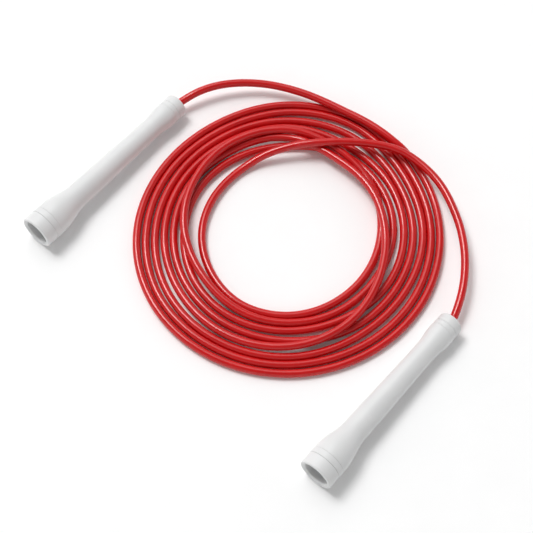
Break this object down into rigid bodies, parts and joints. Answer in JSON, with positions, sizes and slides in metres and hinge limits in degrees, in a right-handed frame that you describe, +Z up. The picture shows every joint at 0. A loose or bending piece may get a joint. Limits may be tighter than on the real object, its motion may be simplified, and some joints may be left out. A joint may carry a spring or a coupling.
{
  "type": "jump rope",
  "caption": "Skipping rope laid down: flat-wound coil of round solid cord between two slim hollow handles with flared butts, each spinning freely on the cord.",
  "frame": {"origin": "middle of the box round the two handles, on the surface that the rope lies on", "axes": "+Z up; seen from above with +Y away, the left handle lies at the upper left of the coil and the right handle at the lower right, both with their mouths towards +X +Y"},
  "size_m": [0.2872, 0.2902, 0.0234],
  "materials": {
    "cord": "glossy solid PVC",
    "handle": "satin moulded",
    "bush": "natural nylon",
    "washer": "stamped, zinc plated",
    "clamp": "moulded nylon",
    "tip": "crimped sleeve"
  },
  "bodies": {
    "cord": {"cord_coil": "cord", "left_cord_lead": "cord", "right_cord_lead": "cord", "left_cord_end": "cord", "right_cord_end": "cord", "left_cord_tip": "tip", "right_cord_tip": "tip", "left_clamp_body": "clamp", "right_clamp_body": "clamp", "left_clamp_jaw": "clamp", "right_clamp_jaw": "clamp"},
    "left_handle": {"left_grip": "handle", "left_end_cap": "handle", "left_butt_ring": "handle", "left_bush": "bush"},
    "left_thrust_washer": {"left_washer": "washer"},
    "right_handle": {"right_grip": "handle", "right_end_cap": "handle", "right_butt_ring": "handle", "right_bush": "bush"},
    "right_thrust_washer": {"right_washer": "washer"}
  },
  "joints": [
    {"name": "left_handle_spin", "type": "hinge", "parent": "cord", "child": "left_handle", "pos_m": [-0.04271, 0.1335, 0.00811], "axis": [0.6584, 0.7521, -0.0285], "continuous": true},
    {"name": "left_washer_spin", "type": "hinge", "parent": "cord", "child": "left_thrust_washer", "pos_m": [-0.05812, 0.1159, 0.00878], "axis": [0.6584, 0.7521, -0.0285], "continuous": true},
    {"name": "right_handle_spin", "type": "hinge", "parent": "cord", "child": "right_handle", "pos_m": [0.1344, -0.02873, 0.00811], "axis": [0.6518, 0.7578, -0.0285], "continuous": true},
    {"name": "right_washer_spin", "type": "hinge", "parent": "cord", "child": "right_thrust_washer", "pos_m": [0.11915, -0.04646, 0.00878], "axis": [0.6518, 0.7578, -0.0285], "continuous": true}
  ]
}
